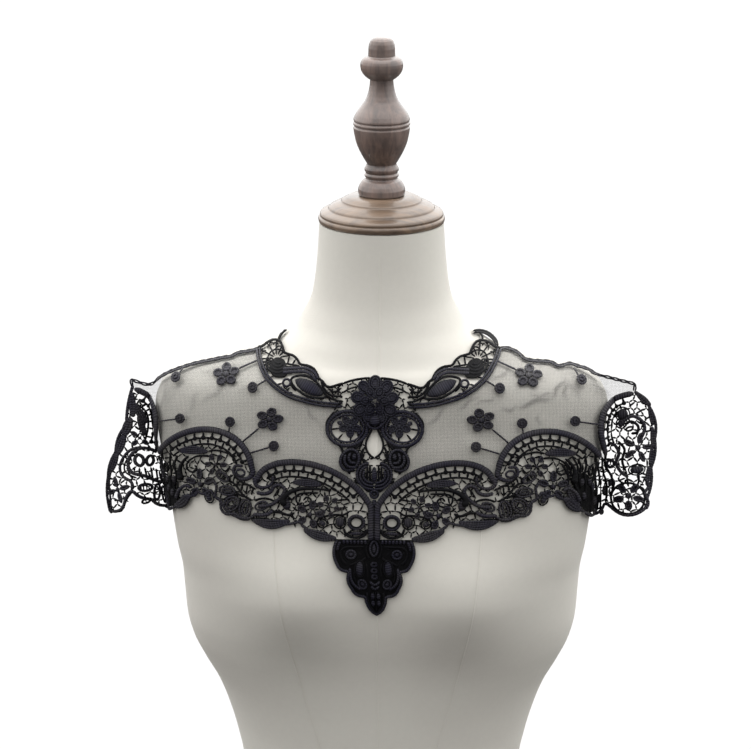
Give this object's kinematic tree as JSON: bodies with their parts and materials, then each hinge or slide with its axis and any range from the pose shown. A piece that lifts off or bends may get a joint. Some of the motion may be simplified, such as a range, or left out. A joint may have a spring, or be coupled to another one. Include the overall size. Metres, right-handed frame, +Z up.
{
  "type": "lace collar on dress form",
  "caption": "Black guipure and net lace collar with scalloped caps, laid on a limbless tabletop dress form with a turned wooden neck cap.",
  "frame": {"origin": "centre of the dress form's flat base", "axes": "+Z up through the neck, the form's chest and the collar's front face -Y, +X towards the wearer's left"},
  "size_m": [0.4784, 0.2278, 0.8775],
  "materials": {
    "guipure": "black satin-stitched guipure lace",
    "net": "fine sheer black net",
    "form_cover": "smooth cream jersey over the form",
    "turned_wood": "dark stained turned wood, satin varnish"
  },
  "bodies": {
    "root": {"cap_scallop_left": "guipure", "cap_scallop_right": "guipure", "dot_left_1": "guipure", "dot_left_2": "guipure", "dot_left_3": "guipure", "dot_left_4": "guipure", "dot_left_5": "guipure", "dot_right_1": "guipure", "dot_right_2": "guipure", "dot_right_3": "guipure", "dot_right_4": "guipure", "dot_right_5": "guipure", "dress_form": "form_cover", "drop": "guipure", "finial": "turned_wood", "flower_left_1": "guipure", "flower_left_2": "guipure", "flower_right_1": "guipure", "flower_right_2": "guipure", "inner_scallop_left": "guipure", "inner_scallop_right": "guipure", "medallion": "guipure", "middle_scallop_left": "guipure", "middle_scallop_right": "guipure", "neck_border_left": "guipure", "neck_border_right": "guipure", "neck_cap": "turned_wood", "rosette": "guipure", "shoulder_edge_left": "guipure", "shoulder_edge_right": "guipure", "yoke_left": "net", "yoke_right": "net"}
  },
  "joints": []
}
